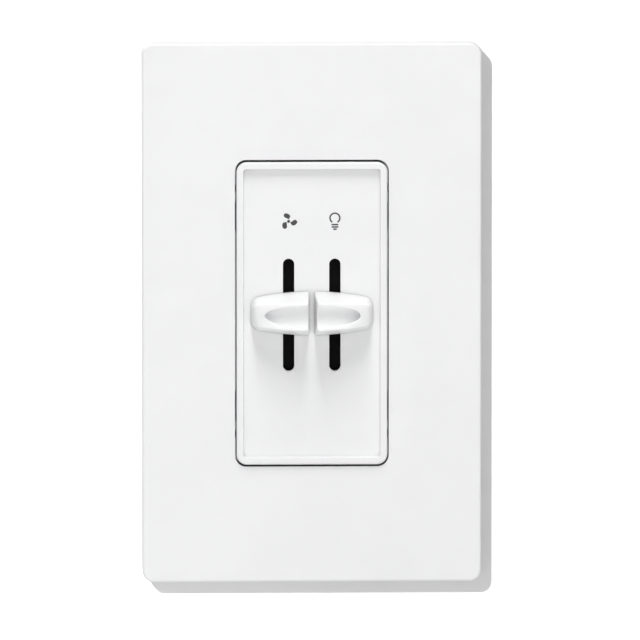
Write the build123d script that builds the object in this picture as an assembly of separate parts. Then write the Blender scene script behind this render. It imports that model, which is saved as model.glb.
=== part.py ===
from build123d import *
import math
import os

# Two-slider wall control: a fan-speed slider and a light dimmer slider side by side in one
# single-gang wiring device, with a screwless clip-on wallplate.
#
# Frame: X to the right, Y into the wall, Z up. The wall plane is y = 0, and the origin is midway
# between the two screws that hold the device to the wall box. All sizes are in millimetres.

# ---- wallplate, as seen from the room
COVER_WIDTH = 74.7
COVER_HEIGHT = 119.1
COVER_DEPTH = 7.6
COVER_WALL = 1.6
COVER_CORNER = 2.5
COVER_EDGE = 0.55
OPENING_WIDTH = 33.9
OPENING_HEIGHT = 67.85
OPENING_CORNER = 2.5
OPENING_RIM = 1.2
SNAP_LENGTH = 8.0

# ---- front of the device, inside the opening
BEZEL_WIDTH = 33.2
BEZEL_HEIGHT = 66.9
BEZEL_CORNER = 2.25
BEZEL_PROUD = 0.9
BEZEL_EDGE = 0.45
RECESS_WIDTH = 29.9
RECESS_HEIGHT = 63.5
RECESS_CORNER = 0.5
RECESS_DEPTH = 1.4
RECESS_DRAFT = 8.0
PANEL_THICK = 1.6
BEZEL_WALL = 1.3
SLIDER_OFFSET = 5.1
SLOT_WIDTH = 2.52
SLOT_LENGTH = 24.9
SLOT_HEIGHT_OFFSET = -0.4
RAIL_WIDTH = 1.0
RAIL_DEPTH = 1.6

# ---- pair of finger knobs, two mirrored halves of one bowed shape with a shared dish
KNOB_WIDTH = 27.1
KNOB_HEIGHT = 9.75
KNOB_OUTLINE_RADIUS = 60.0
KNOB_CORNER = 2.4
KNOB_DRAFT = 11.6
KNOB_FRONT_RADIUS = 21.8
KNOB_END_RADIUS = 3.0
KNOB_REACH = 9.1
KNOB_CLEARANCE = 0.4
KNOB_SEAM = 1.1
SEAM_DRAFT = 3.0
KNOB_EDGE = 0.3
KNOB_END_SKIN = 0.02
BOW_END_STEPS = 30
DISH_WIDTH = 21.0
DISH_HEIGHT = 5.1
DISH_DEPTH = 2.0
DISH_SECTION_HEIGHT = 5.5
DISH_EDGE = 0.15
STEM_WIDTH = 1.8
STEM_LENGTH = 4.0
STEM_CLEARANCE = 0.03

# ---- yoke, which is also the heat sink
YOKE_THICK = 1.6
YOKE_WIDTH = 63.5
YOKE_BODY_HEIGHT = 78.0
YOKE_EAR_WIDTH = 34.0
YOKE_HEIGHT = 106.4
YOKE_CORNER = 2.0
BOX_SCREW_SPACING = 83.34
PLATE_SCREW_SPACING = 96.84
MOUNT_SLOT_WIDTH = 4.1
MOUNT_SLOT_LENGTH = 6.8
BREAK_OFF_LINES = (23.4, 27.6)
SCORE_WIDTH = 0.5
SCORE_DEPTH = 0.4
YOKE_SLOT_WIDTH = 3.4
YOKE_SLOT_LENGTH = 27.0
SNAP_Z = 21.0
SNAP_HALF = 3.0
SNAP_THICK = 0.9
SNAP_HOOK = 0.9
SNAP_CATCH = 0.1
SNAP_BACK = 1.2
GROUND_SPOT = (-14.5, -34.9)
GROUND_CLAMP_WIDTH = 7.6
GROUND_CLAMP_HEIGHT = 7.0
GROUND_CLAMP_THICK = 0.8
RETAINER_SIZE = 9.0
RETAINER_THICK = 0.4
RETAINER_HOLE_RADIUS = 1.6
SHEET_CORNER = 0.6

# ---- 6-32 and M3 screws
HEAD_DOME = 0.45
RECESS_DEEP = 0.55
RECESS_WIDE = 0.28
CROSS_REACH = 0.55
POINT_CHAMFER = 0.3
SCREW_RADIUS = 1.75
NECK_RADIUS = 1.5
TAPPED_RADIUS = 1.78
CLEARANCE_RADIUS = 1.95
BOX_SCREW_LENGTH = 25.4
BOX_SCREW_HEAD_RADIUS = 3.4
BOX_SCREW_HEAD_HEIGHT = 1.9
PLATE_SCREW_LENGTH = 6.0
PLATE_SCREW_HEAD_RADIUS = 3.1
PLATE_SCREW_HEAD_HEIGHT = 1.8
GROUND_HEAD_RADIUS = 3.3
GROUND_HEAD_HEIGHT = 2.2
TERMINAL_SCREW_LENGTH = 6.4
TERMINAL_HEAD_RADIUS = 3.5
TERMINAL_HEAD_HEIGHT = 2.3
SMALL_SCREW_RADIUS = 1.4
SMALL_TAPPED_RADIUS = 1.43
SMALL_HEAD_RADIUS = 2.6
SMALL_HEAD_HEIGHT = 1.8

# ---- wallplate adapter, screwed to the yoke, which the cover snaps over
ADAPTER_WIDTH = 68.0
ADAPTER_HEIGHT = 112.4
ADAPTER_THICK = 1.2
ADAPTER_LIP = 1.2
ADAPTER_LIP_HEIGHT = 1.6
ADAPTER_OPENING_WIDTH = 34.4
ADAPTER_OPENING_HEIGHT = 68.4
ADAPTER_WINDOW = (10.2, 7.6)
ADAPTER_WINDOW_CORNER = 1.5

# ---- rear housing
HOUSING_WIDTH = 43.4
HOUSING_HEIGHT = 62.0
HOUSING_DEPTH = 30.0
HOUSING_WALL = 1.8
HOUSING_CORNER = 2.0
HOUSING_EDGE = 1.2
HOUSING_INNER_CORNER = 0.8
BOSS_RADIUS = 3.2
BOSS_BORE_RADIUS = 1.55
BOSS_X = 17.9
BOSS_Z = 27.2
HEAD_CLEARANCE = 0.2
LEDGE_Z = 19.0
LEDGE_WIDTH = 3.0
LEDGE_REACH = 1.4
GAUGE_LENGTH = 12.0
GAUGE_WIDTH = 2.4
GAUGE_DEPTH = 0.6
GAUGE_Z = -22.0
POCKET_DEPTH = 5.3
POCKET_FRONT = 12.2
POCKET_HALF_HEIGHT = 5.6
POCKET_WALL = 1.2
TERMINAL_Y = 17.5
TERMINAL_Z = 7.4
STRAP_THICK = 0.8
STRAP_HALF_HEIGHT = 4.5
STRAP_END = 22.4
STRAP_LEG_HALF = 1.5
STRAP_LEG_GAP = 0.1
STRAP_LEG_OVERLAP = 0.5
CLAMP_THICK = 1.0
CLAMP_HALF_HEIGHT = 4.6
CLAMP_FRONT_REACH = 4.2
CLAMP_BACK_REACH = 4.6
CLAMP_LIFT = 0.1
TERMINAL_HOLE_ENDS = (12.0, 21.0)
HEAD_SINK = 1.9

# ---- slide units behind the yoke
UNIT_WIDTH = 9.4
UNIT_LENGTH = 36.0
UNIT_FRONT = 0.5
UNIT_BACK = 8.2
UNIT_WALL = 0.5
UNIT_CORNER = 0.8
BASE_THICK = 1.7
CARRIAGE_WIDTH = 7.8
CARRIAGE_LENGTH = 9.0
CARRIAGE_FRONT = 1.4
CARRIAGE_BACK = 5.2
SOCKET_FLOOR = 0.7
STEM_TIP = 0.8
TRACK_THICK = 0.1
TRACK_WIDTH = 2.2
TRACK_LENGTH = 28.0
TRACK_OFFSET = 2.0
FAN_POSITIONS = 4
PAD_SPACE = 1.0
WIPER_THICK = 0.25
WIPER_GAP = 0.15
WIPER_BASE_WIDTH = 6.0
WIPER_BASE_LENGTH = 2.0
WIPER_FINGER_WIDTH = 1.4
WIPER_BEND = 1.5
WIPER_TAIL_LIFT = 0.2
LEAF_THICK = 0.25
LEAF_WIDTH = 3.2
LEAF_FRONT = 2.4
LEAF_FROM_END = 1.6
LEAF_FOOT = 0.5
CONTACT_WIDTH = 2.4
CONTACT_FRONT = 2.6
CONTACT_FROM_END = 0.2
CONTACT_THICK = 0.6
INSULATION_FRONT = 0.1
INSULATION_MARGIN = 3.0
SHUTTER_WIDTH = 8.0
SHUTTER_LENGTH = 42.4
SHUTTER_THICK = 0.5
SLIDE_GAP = 0.3

# ---- circuit board and what stands on it
BOARD_FRONT = UNIT_BACK
BOARD_THICK = 1.6
BOARD_WIDTH = 38.6
BOARD_HEIGHT = 57.6
LEAD_RADIUS = 0.35
STAND_OFF = 0.3
CASE_CORNER = 0.6
CHOKE_SPOT = (-4.5, 17.4)
CHOKE_RADIUS = 6.6
CORE_RADIUS = 3.0
WIRE_RADIUS = 0.4
WIRE_GAP = 0.02
CHOKE_TURNS = 19
NOISE_SPOT = (10.6, 19.2)
NOISE_SIZE = (7.5, 14.0, 15.0)
FAN_CAPACITOR_SPOTS = ((-1.0, -13.4), (-1.0, -23.4))
FAN_CAPACITOR_SIZE = (26.0, 15.0, 8.6)
RESISTOR_SPOTS = ((-9.5, 2.6), (-9.5, -1.6), (-9.5, -5.8), (0.2, -5.8))
RESISTOR_RADIUS = 1.15
RESISTOR_LENGTH = 6.3
DIAC_SPOT = (0.2, -1.6)
DIAC_RADIUS = 0.95
DIAC_LENGTH = 4.2
FIRING_SPOT = (8.6, 3.4)
FIRING_SIZE = (7.2, 6.0, 2.6)
PIN_SPREAD = 5.0
FAN_PIN_SPREAD = 22.5
AXIAL_LEAD_REACH = 1.2
AXIAL_ROUNDING = 0.35
TRIM_SPOT = (8.8, -4.4)
TRIM_SIZE = (6.6, 3.6, 6.6)
ROTOR_RADIUS = 2.0
ROTOR_THICK = 0.8
ROTOR_SLOT = (3.0, 0.5)

# ---- triac on the yoke's back
TRIAC_Z = 23.7
TRIAC_HOLE_X = -5.6
TRIAC_BODY = (-2.4, 6.8)
TRIAC_THICK = 4.4
TRIAC_HALF_HEIGHT = 5.0
TRIAC_CHAMFER = 0.5
PAD_SIZE = (18.0, 9.8)
PAD_X = -1.2
PAD_THICK = 0.4
TAB_THICK = 1.3
TAB_REACH = 3.4
TAB_INSET = 0.2
TAB_HOLE_RADIUS = 1.9
TRIAC_LEAD_PITCH = 2.54
TRIAC_LEAD_WIDTH = 0.8
TRIAC_LEAD_THICK = 0.5
TRIAC_LEAD_LIFT = 2.6
TRIAC_LEAD_END = 9.4
TRIAC_SCREW_SHORT = 0.2

# ---- how far a cutting shape reaches past the surface it opens
OVERSHOOT = 0.5

# ---- how close two measured places, or two outlines, are when they are the same
SAME_PLACE = 1e-3
SAME_OUTLINE = 1.01

# ---- planes that the sizes above fix
YOKE_FRONT = -YOKE_THICK
COVER_FRONT = -COVER_DEPTH
RIM_FRONT = COVER_FRONT - BEZEL_PROUD
PANEL_FRONT = RIM_FRONT + RECESS_DEPTH
PANEL_BACK = PANEL_FRONT + PANEL_THICK
KNOB_BACK = PANEL_FRONT - KNOB_CLEARANCE
KNOB_FRONT = KNOB_BACK - KNOB_REACH
BOW_AXIS_Y = KNOB_FRONT + KNOB_FRONT_RADIUS
ADAPTER_FRONT = YOKE_FRONT - ADAPTER_THICK
BASE_FRONT = UNIT_BACK - BASE_THICK
TRACK_FRONT = BASE_FRONT - TRACK_THICK
BOARD_BACK = BOARD_FRONT + BOARD_THICK
PART_BASE = BOARD_BACK + STAND_OFF
SNAP_X = BEZEL_WIDTH / 2 - BEZEL_WALL / 2
HOUSING_FLOOR = HOUSING_DEPTH - HOUSING_WALL
POCKET_FLOOR = HOUSING_WIDTH / 2 - POCKET_DEPTH
STRAP_LEG_END = POCKET_FRONT + STRAP_LEG_OVERLAP


# ======== helpers

def block(x_limits, y_limits, z_limits):
    """A box between two limits on each axis."""
    limits = (x_limits, y_limits, z_limits)
    size = [high - low for low, high in limits]
    middle = [(high + low) / 2 for low, high in limits]
    return Pos(*middle) * Box(*size)


def slab(sketch, back, front, taper=0.0):
    """A sketch drawn in X and Z, extruded from the plane y = back towards the room to y = front."""
    return extrude(Plane.XZ.offset(-back) * sketch, amount=back - front, taper=taper)


def rod_y(x, z, radius, back, front):
    """A round bar along Y."""
    return Pos(x, (back + front) / 2, z) * Rot(X=90) * Cylinder(radius, back - front)


def rod_x(y, z, radius, left, right):
    """A round bar along X."""
    return Pos((left + right) / 2, y, z) * Rot(Y=90) * Cylinder(radius, right - left)


def at(sketch, x, z):
    """A sketch moved to x, z in the front view."""
    return Pos(x, z) * sketch


def upright_slot(length, width):
    """A round-ended slot that runs up and down."""
    return SlotOverall(length, width, rotation=90)


def frame_sketch(width, height, corner, inner_width, inner_height, inner_corner):
    """A rounded rectangle with a rounded rectangular hole."""
    hole = RectangleRounded(inner_width, inner_height, inner_corner)
    return RectangleRounded(width, height, corner) - hole


def edges_at(shape, y):
    """The edges of a shape that lie wholly in the plane at this y."""
    found = []
    for edge in shape.edges():
        box = edge.bounding_box()
        if abs(box.min.Y - y) < SAME_PLACE and abs(box.max.Y - y) < SAME_PLACE:
            found.append(edge)
    return found


def screw(head_radius, head_height, radius, length, neck=0.0):
    """A pan-head machine screw: head above z = 0, shank below, with a cross and slot recess.

    A neck is a length of thinner, unthreaded shank right under the head.
    """
    recess_depth = head_height * RECESS_DEEP
    recess_width = head_radius * RECESS_WIDE
    head = Pos(0, 0, head_height / 2) * Cylinder(head_radius, head_height)
    head = fillet(head.edges().sort_by(Axis.Z)[-1], head_height * HEAD_DOME)
    threaded = length - neck
    shank = Pos(0, 0, -neck - threaded / 2) * Cylinder(radius, threaded)
    shank = chamfer(shank.edges().sort_by(Axis.Z)[0], radius * POINT_CHAMFER)
    if neck:
        shank += Pos(0, 0, -neck / 2) * Cylinder(NECK_RADIUS, neck)
    recess_top = Pos(0, 0, head_height - recess_depth / 2)
    slot = recess_top * Box(2 * head_radius, recess_width, recess_depth)
    cross = recess_top * Box(recess_width, 2 * head_radius * CROSS_REACH, recess_depth)
    return head + shank - slot - cross


def save(name, *shapes):
    """Write one node. Several shapes stay separate solids in it."""
    solids = [solid for shape in shapes for solid in shape.solids()]
    export_step(Compound(solids), f"parts/{name}.step")


# ======== wallplate

def wallplate_cover():
    """Shallow tray with the device opening, a rim round it and ribs that grip the adapter."""
    shell = slab(RectangleRounded(COVER_WIDTH, COVER_HEIGHT, COVER_CORNER), 0, COVER_FRONT)
    shell = fillet(edges_at(shell, COVER_FRONT), COVER_EDGE)
    inner_width = COVER_WIDTH - 2 * COVER_WALL
    inner_height = COVER_HEIGHT - 2 * COVER_WALL
    inside_front = COVER_FRONT + COVER_WALL
    inside = slab(RectangleRounded(inner_width, inner_height, COVER_CORNER / 2), 0, inside_front)
    rim_back = ADAPTER_FRONT - 2 * SLIDE_GAP
    rim = slab(
        RectangleRounded(OPENING_WIDTH + 2 * OPENING_RIM, OPENING_HEIGHT + 2 * OPENING_RIM,
                         OPENING_CORNER + OPENING_RIM),
        rim_back, inside_front)
    cover = shell - inside + rim
    for side in (-1, 1):
        for z in (-COVER_HEIGHT / 4, COVER_HEIGHT / 4):
            cover += side_rib(side, z, inner_width / 2, inside_front)
        for x in (-COVER_WIDTH / 4, COVER_WIDTH / 4):
            cover += end_rib(side, x, inner_height / 2, inside_front)
    opening = RectangleRounded(OPENING_WIDTH, OPENING_HEIGHT, OPENING_CORNER)
    return cover - slab(opening, 0, COVER_FRONT - OVERSHOOT)


def side_rib(side, z, wall_x, inside_front):
    """Snap rib on the left or right wall of the cover, just outside the adapter's lip."""
    inner = ADAPTER_WIDTH / 2 + SLIDE_GAP
    x_limits = sorted((side * inner, side * (wall_x + COVER_WALL / 2)))
    half = SNAP_LENGTH / 2
    return block(x_limits, (inside_front - COVER_WALL / 2, YOKE_FRONT), (z - half, z + half))


def end_rib(side, x, wall_z, inside_front):
    """Snap rib on the top or bottom wall of the cover."""
    inner = ADAPTER_HEIGHT / 2 + SLIDE_GAP
    z_limits = sorted((side * inner, side * (wall_z + COVER_WALL / 2)))
    half = SNAP_LENGTH / 2
    return block((x - half, x + half), (inside_front - COVER_WALL / 2, YOKE_FRONT), z_limits)


def wallplate_adapter():
    """Flat frame with a raised lip, windows over the box screws and holes for its own screws."""
    corner = COVER_CORNER / 2
    plate = slab(
        frame_sketch(ADAPTER_WIDTH, ADAPTER_HEIGHT, corner,
                     ADAPTER_OPENING_WIDTH, ADAPTER_OPENING_HEIGHT, OPENING_CORNER),
        YOKE_FRONT, ADAPTER_FRONT)
    lip = slab(
        frame_sketch(ADAPTER_WIDTH, ADAPTER_HEIGHT, corner,
                     ADAPTER_WIDTH - 2 * ADAPTER_LIP, ADAPTER_HEIGHT - 2 * ADAPTER_LIP, corner / 2),
        ADAPTER_FRONT, ADAPTER_FRONT - ADAPTER_LIP_HEIGHT)
    plate += lip
    window = RectangleRounded(*ADAPTER_WINDOW, ADAPTER_WINDOW_CORNER)
    for side in (-1, 1):
        box_z = side * BOX_SCREW_SPACING / 2
        plate -= slab(at(window, 0, box_z), YOKE_FRONT, ADAPTER_FRONT)
        plate -= rod_y(0, side * PLATE_SCREW_SPACING / 2, CLEARANCE_RADIUS, YOKE_FRONT, ADAPTER_FRONT)
    return plate


def adapter_screws():
    """The two 6-32 screws that hold the adapter to the yoke's tapped ears."""
    one = Rot(X=90) * screw(PLATE_SCREW_HEAD_RADIUS, PLATE_SCREW_HEAD_HEIGHT,
                            SCREW_RADIUS, PLATE_SCREW_LENGTH)
    return [Pos(0, ADAPTER_FRONT, side * PLATE_SCREW_SPACING / 2) * one for side in (-1, 1)]


# ======== yoke and its screws

def yoke():
    """Aluminium strap: two ears, a wide middle with break-off fins, and the slots and holes."""
    outline = RectangleRounded(YOKE_WIDTH, YOKE_BODY_HEIGHT, YOKE_CORNER)
    outline += RectangleRounded(YOKE_EAR_WIDTH, YOKE_HEIGHT, YOKE_CORNER)
    for side in (-1, 1):
        outline -= at(SlotOverall(MOUNT_SLOT_LENGTH, MOUNT_SLOT_WIDTH), 0, side * BOX_SCREW_SPACING / 2)
        outline -= at(Circle(TAPPED_RADIUS), 0, side * PLATE_SCREW_SPACING / 2)
        outline -= at(upright_slot(YOKE_SLOT_LENGTH, YOKE_SLOT_WIDTH),
                      side * SLIDER_OFFSET, SLOT_HEIGHT_OFFSET)
        for end in (-1, 1):
            snap_hole = Rectangle(SNAP_THICK + SNAP_HOOK + SLIDE_GAP, 2 * (SNAP_HALF + SLIDE_GAP))
            outline -= at(snap_hole, side * (SNAP_X + SLIDE_GAP / 2), end * SNAP_Z)
            outline -= at(Circle(SMALL_TAPPED_RADIUS), side * BOSS_X, end * BOSS_Z)
    outline -= at(Circle(SMALL_TAPPED_RADIUS), TRIAC_HOLE_X, TRIAC_Z)
    outline -= at(Circle(TAPPED_RADIUS), *GROUND_SPOT)
    strap = slab(outline, 0, YOKE_FRONT)
    for x in BREAK_OFF_LINES:
        for side in (-1, 1):
            limits = (side * x - SCORE_WIDTH / 2, side * x + SCORE_WIDTH / 2)
            tall = (-YOKE_BODY_HEIGHT, YOKE_BODY_HEIGHT)
            strap -= block(limits, (YOKE_FRONT, YOKE_FRONT + SCORE_DEPTH), tall)
            strap -= block(limits, (-SCORE_DEPTH, 0), tall)
    return strap


def mounting_screws():
    """The two 6-32 x 1 in screws for the wall box. Their necks pass the yoke and the retainers."""
    one = Rot(X=90) * screw(BOX_SCREW_HEAD_RADIUS, BOX_SCREW_HEAD_HEIGHT,
                            SCREW_RADIUS, BOX_SCREW_LENGTH, neck=YOKE_THICK + RETAINER_THICK)
    return [Pos(0, YOKE_FRONT, side * BOX_SCREW_SPACING / 2) * one for side in (-1, 1)]


def screw_retainers():
    """Fibre squares round the mounting screws' necks, which keep the screws captive in the ears."""
    outline = RectangleRounded(RETAINER_SIZE, RETAINER_SIZE, SHEET_CORNER)
    outline -= Circle(RETAINER_HOLE_RADIUS)
    return [slab(at(outline, 0, side * BOX_SCREW_SPACING / 2), RETAINER_THICK, 0) for side in (-1, 1)]


def ground_clamp():
    """Square pressure plate under the ground screw, on the back of the yoke."""
    outline = RectangleRounded(GROUND_CLAMP_WIDTH, GROUND_CLAMP_HEIGHT, SHEET_CORNER)
    outline -= Circle(CLEARANCE_RADIUS)
    return slab(at(outline, *GROUND_SPOT), GROUND_CLAMP_THICK, 0)


def ground_screw():
    """Ground screw, driven from the back into the yoke."""
    x, z = GROUND_SPOT
    one = screw(GROUND_HEAD_RADIUS, GROUND_HEAD_HEIGHT, SCREW_RADIUS, GROUND_CLAMP_THICK + YOKE_THICK)
    return Pos(x, GROUND_CLAMP_THICK, z) * Rot(X=-90) * one


# ======== front of the device

def front_bezel():
    """White front moulding: raised rim, recessed panel, two slots, rails and snap tabs."""
    bezel = slab(RectangleRounded(BEZEL_WIDTH, BEZEL_HEIGHT, BEZEL_CORNER), YOKE_FRONT, RIM_FRONT)
    bezel = fillet(edges_at(bezel, RIM_FRONT), BEZEL_EDGE)
    recess = RectangleRounded(RECESS_WIDTH, RECESS_HEIGHT, RECESS_CORNER)
    bezel -= slab(recess, PANEL_FRONT, RIM_FRONT, taper=-RECESS_DRAFT)
    hollow = RectangleRounded(BEZEL_WIDTH - 2 * BEZEL_WALL, BEZEL_HEIGHT - 2 * BEZEL_WALL,
                              BEZEL_CORNER - BEZEL_WALL)
    bezel -= slab(hollow, YOKE_FRONT, PANEL_BACK)
    rail_half_height = BEZEL_HEIGHT / 2 - 2 * BEZEL_WALL
    outer_rail = SLIDER_OFFSET + SHUTTER_WIDTH / 2 + SLIDE_GAP + RAIL_WIDTH / 2
    for x in (-outer_rail, 0, outer_rail):
        bezel += block((x - RAIL_WIDTH / 2, x + RAIL_WIDTH / 2), (PANEL_BACK, PANEL_BACK + RAIL_DEPTH),
                       (-rail_half_height, rail_half_height))
    for side in (-1, 1):
        slot = at(upright_slot(SLOT_LENGTH, SLOT_WIDTH), side * SLIDER_OFFSET, SLOT_HEIGHT_OFFSET)
        bezel -= slab(slot, PANEL_BACK, PANEL_FRONT)
        for end in (-1, 1):
            bezel += snap_tab(side, end * SNAP_Z)
    return bezel


def snap_tab(side, z):
    """Tab on the back edge of the bezel that passes through the yoke and hooks behind it."""
    inner = SNAP_X - SNAP_THICK / 2
    outer = SNAP_X + SNAP_THICK / 2
    height = (z - SNAP_HALF, z + SNAP_HALF)
    shank = block(sorted((side * inner, side * outer)), (YOKE_FRONT, SNAP_BACK), height)
    barb = block(sorted((side * inner, side * (outer + SNAP_HOOK))), (SNAP_CATCH, SNAP_BACK), height)
    return shank + barb


# ======== sliders: knob, shutter, carriage and wiper move together

def knob_outline():
    """Rear outline of the pair of knobs: bowed top and bottom, rounded corners."""
    half_width = KNOB_WIDTH / 2
    half_height = KNOB_HEIGHT / 2
    radius = KNOB_OUTLINE_RADIUS
    end = half_height - radius + math.sqrt(radius ** 2 - half_width ** 2)
    top = ThreePointArc((-half_width, end), (0, half_height), (half_width, end))
    right = Line((half_width, end), (half_width, -end))
    bottom = ThreePointArc((half_width, -end), (0, -half_height), (-half_width, -end))
    left = Line((-half_width, -end), (-half_width, end))
    outline = make_face([top, right, bottom, left])
    return fillet(outline.vertices(), KNOB_CORNER)


def knob_bow():
    """The pair of knobs seen from above: a bowed front that is rounded down to both drafted ends."""
    half_width = KNOB_WIDTH / 2 + KNOB_END_SKIN
    slope = math.tan(math.radians(KNOB_DRAFT))
    end_depth = KNOB_REACH
    for _ in range(BOW_END_STEPS):
        end_x = half_width - slope * end_depth
        end_y = BOW_AXIS_Y - math.sqrt(KNOB_FRONT_RADIUS ** 2 - end_x ** 2)
        end_depth = KNOB_BACK - end_y
    front = ThreePointArc((-end_x, end_y), (0, KNOB_FRONT), (end_x, end_y))
    right = Line((end_x, end_y), (half_width, KNOB_BACK))
    rear = Line((half_width, KNOB_BACK), (-half_width, KNOB_BACK))
    left = Line((-half_width, KNOB_BACK), (-end_x, end_y))
    outline = make_face([front, right, rear, left])
    return fillet(outline.vertices().sort_by(Axis.Y)[:2], KNOB_END_RADIUS)


def seam_x(y):
    """How far the wall of the seam between the knobs is from the middle at this depth."""
    return KNOB_SEAM / 2 + math.tan(math.radians(SEAM_DRAFT)) * (KNOB_BACK - y)


def seam_side(side):
    """The space on one side of the seam, which opens a little towards the front."""
    front_y = KNOB_FRONT - OVERSHOOT
    corners = [(seam_x(KNOB_BACK), KNOB_BACK), (seam_x(front_y), front_y),
               (KNOB_WIDTH, front_y), (KNOB_WIDTH, KNOB_BACK)]
    outline = make_face(Polyline(*[(side * x, y) for x, y in corners], close=True))
    return extrude(outline, amount=KNOB_HEIGHT, both=True)


def knob_blank(side):
    """Half of the drafted, bowed block that both knobs share, before the dish is cut."""
    block_of_both = slab(knob_outline(), KNOB_BACK, KNOB_FRONT - OVERSHOOT, taper=KNOB_DRAFT)
    bow = extrude(knob_bow(), amount=KNOB_HEIGHT, both=True)
    half = block_of_both & bow & seam_side(side)
    return fillet([e for e in half.edges() if on_seam(e, side) or round_front(e)], KNOB_EDGE)


def round_front(edge):
    """Whether an edge belongs to the rim of the bowed front, and not to a smooth join across it."""
    box = edge.bounding_box()
    reaches_back = box.max.Y > KNOB_BACK - SAME_PLACE
    upright = box.size.X < SAME_PLACE and box.size.Y < SAME_PLACE
    return not reaches_back and not upright


def on_bow(edge):
    """Whether an edge lies on or just under the bowed front."""
    middle = edge.position_at(0.5)
    return math.hypot(middle.X, middle.Y - BOW_AXIS_Y) > KNOB_FRONT_RADIUS - KNOB_EDGE


def on_seam(edge, side):
    """Whether an edge lies in the seam's flat wall, apart from the wall's back edge."""
    places = [edge.position_at(fraction) for fraction in (0, 0.5, 1)]
    in_wall = all(abs(side * place.X - seam_x(place.Y)) < SAME_PLACE for place in places)
    return in_wall and min(place.Y for place in places) < KNOB_BACK - KNOB_EDGE


def in_dish(edge):
    """Whether an edge lies within the dish's elliptical outline, in the front view."""
    middle = edge.position_at(0.5)
    return math.hypot(middle.X / (DISH_WIDTH / 2), middle.Z / (DISH_HEIGHT / 2)) < SAME_OUTLINE


def dish():
    """Finger dish: a groove of constant depth that follows the bow, inside an elliptical outline."""
    section = Pos(KNOB_FRONT_RADIUS, 0) * Ellipse(DISH_DEPTH, DISH_SECTION_HEIGHT / 2)
    ring = Pos(0, BOW_AXIS_Y, 0) * revolve(Plane.XZ * section, Axis.Z)
    outline = slab(Ellipse(DISH_WIDTH / 2, DISH_HEIGHT / 2), KNOB_BACK, KNOB_FRONT - OVERSHOOT)
    return ring & outline


def knob(side):
    """One knob half with its flat stem, which passes through the slots into the carriage."""
    half = knob_blank(side) - dish()
    rim = [e for e in half.edges() if in_dish(e) and (on_bow(e) or on_seam(e, side))]
    half = fillet(rim, DISH_EDGE)
    stem = slab(at(upright_slot(STEM_LENGTH, STEM_WIDTH), side * SLIDER_OFFSET, 0),
                CARRIAGE_BACK - STEM_TIP, KNOB_BACK)
    return half + stem


def stem_socket():
    """Outline of the hole that the stem passes into."""
    return upright_slot(STEM_LENGTH + 2 * STEM_CLEARANCE, STEM_WIDTH + 2 * STEM_CLEARANCE)


def shutter(side):
    """Black strip that rides behind the panel and closes the slot on both sides of the stem."""
    back = PANEL_BACK + SLIDE_GAP + SHUTTER_THICK
    outline = RectangleRounded(SHUTTER_WIDTH, SHUTTER_LENGTH, SHEET_CORNER)
    outline -= stem_socket()
    return slab(at(outline, side * SLIDER_OFFSET, 0), back, back - SHUTTER_THICK)


def carriage(side):
    """Acetal block that the stem plugs into. It slides inside the slide unit's steel channel."""
    outline = RectangleRounded(CARRIAGE_WIDTH, CARRIAGE_LENGTH, UNIT_CORNER)
    body = slab(at(outline, side * SLIDER_OFFSET, 0), CARRIAGE_BACK, CARRIAGE_FRONT)
    socket = at(stem_socket(), side * SLIDER_OFFSET, 0)
    return body - slab(socket, CARRIAGE_BACK - SOCKET_FLOOR, CARRIAGE_FRONT)


def wiper(side):
    """Spring contact under the carriage: a base and two bent fingers, one over each track."""
    x = side * SLIDER_OFFSET
    end_z = CARRIAGE_LENGTH / 2 - UNIT_CORNER
    half_width = WIPER_BASE_WIDTH / 2
    base = block((x - half_width, x + half_width), (CARRIAGE_BACK, CARRIAGE_BACK + WIPER_THICK),
                 (end_z - WIPER_BASE_LENGTH, end_z))
    root_y = CARRIAGE_BACK + WIPER_THICK / 2
    tip_y = TRACK_FRONT - WIPER_GAP - WIPER_THICK / 2
    bend = Polyline((root_y, end_z - WIPER_BASE_LENGTH / 2), (root_y, WIPER_BEND),
                    (tip_y, -WIPER_BEND), (root_y + WIPER_TAIL_LIFT, -end_z))
    finger = extrude(Plane.YZ * trace(bend, WIPER_THICK), amount=WIPER_FINGER_WIDTH / 2, both=True)
    fingers = [Pos(x + offset, 0, 0) * finger for offset in (-TRACK_OFFSET, TRACK_OFFSET)]
    return base + fingers[0] + fingers[1]


# ======== slide units: the fan's stepped switch and the light's variable resistor

def slide_unit_frame(side):
    """Steel channel, open at the back, with a slot for the stem."""
    x = side * SLIDER_OFFSET
    z = SLOT_HEIGHT_OFFSET
    outer = slab(at(RectangleRounded(UNIT_WIDTH, UNIT_LENGTH, UNIT_CORNER), x, z), UNIT_BACK, UNIT_FRONT)
    inner = Rectangle(UNIT_WIDTH - 2 * UNIT_WALL, UNIT_LENGTH - 2 * UNIT_WALL)
    outer -= slab(at(inner, x, z), UNIT_BACK, UNIT_FRONT + UNIT_WALL)
    slot = upright_slot(YOKE_SLOT_LENGTH, YOKE_SLOT_WIDTH)
    return outer - slab(at(slot, x, z), UNIT_BACK, UNIT_FRONT)


def slide_unit_base(side):
    """Phenolic board that closes the back of the channel and carries the contacts."""
    width = UNIT_WIDTH - 2 * UNIT_WALL
    length = UNIT_LENGTH - 2 * UNIT_WALL
    outline = Rectangle(width, length)
    return slab(at(outline, side * SLIDER_OFFSET, SLOT_HEIGHT_OFFSET), UNIT_BACK, BASE_FRONT)


def track(x, z, length):
    """One flat contact strip on the front of a slide unit's base."""
    return slab(at(Rectangle(TRACK_WIDTH, length), x, z), BASE_FRONT, TRACK_FRONT)


def light_resistor_track(side):
    """Resistive track and collector track of the dimmer's variable resistor."""
    x = side * SLIDER_OFFSET
    return [track(x + offset, SLOT_HEIGHT_OFFSET, TRACK_LENGTH) for offset in (-TRACK_OFFSET, TRACK_OFFSET)]


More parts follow.
